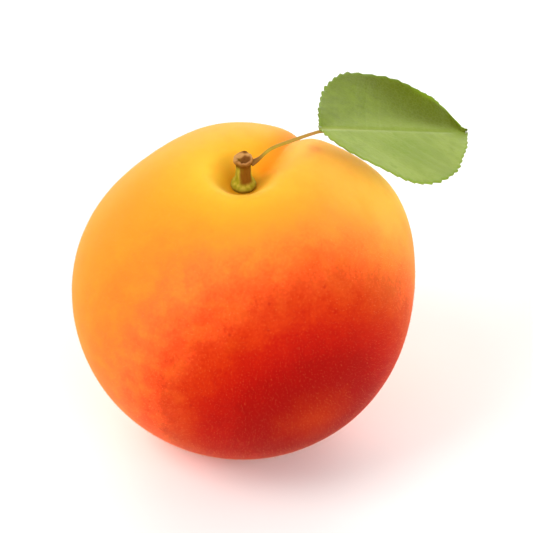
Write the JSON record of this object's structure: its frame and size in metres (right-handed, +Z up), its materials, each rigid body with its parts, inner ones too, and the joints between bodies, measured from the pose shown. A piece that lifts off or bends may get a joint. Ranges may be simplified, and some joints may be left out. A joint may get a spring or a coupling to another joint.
{
  "type": "apricot",
  "caption": "Ripe round apricot with a stem basin, a seam furrow, a woody stem stub and a toothed leaf on a thin stalk, resting on a small flat spot.",
  "frame": {"origin": "middle of the flat spot that the fruit rests on", "axes": "+Z up. The leaf reaches to +X. The stem axis leans 6 degrees to -Y. The seam runs from the stem towards +X +Y."},
  "size_m": [0.0584, 0.0509, 0.0502],
  "materials": {
    "skin": "velvety, fine down over a soft satin skin, yellow at the stem to red on the blushed cheek",
    "bark": "matte young bark, olive green below and brown above, with a dry scar on top",
    "leaf": "satin green blade with a pale midrib and a brown-green stalk"
  },
  "bodies": {
    "root": {"fruit": "skin", "stem": "bark", "leaf": "leaf"}
  },
  "joints": []
}
